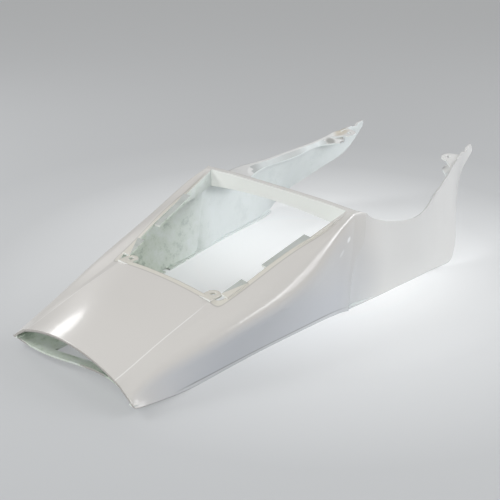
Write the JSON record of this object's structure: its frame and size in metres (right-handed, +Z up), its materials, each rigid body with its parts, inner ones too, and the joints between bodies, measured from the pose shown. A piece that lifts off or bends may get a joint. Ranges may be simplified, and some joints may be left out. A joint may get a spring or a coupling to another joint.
{
  "type": "motorcycle tail fairing",
  "caption": "Motorcycle tail fairing: one thin glossy moulding with a seat opening, an arched tail-light mouth and legs that reach forward along the seat.",
  "frame": {"origin": "middle of the bounding box in plan, on the floor that the lower edges rest on", "axes": "+X forward along the motorcycle, from the tail-light mouth to the leg tips; +Y to its left; +Z up"},
  "size_m": [0.7, 0.33, 0.131],
  "materials": {
    "shell": "glossy pearl-white paint outside, raw glass-fibre laminate inside"
  },
  "bodies": {
    "root": {"tail_fairing": "shell"}
  },
  "joints": []
}
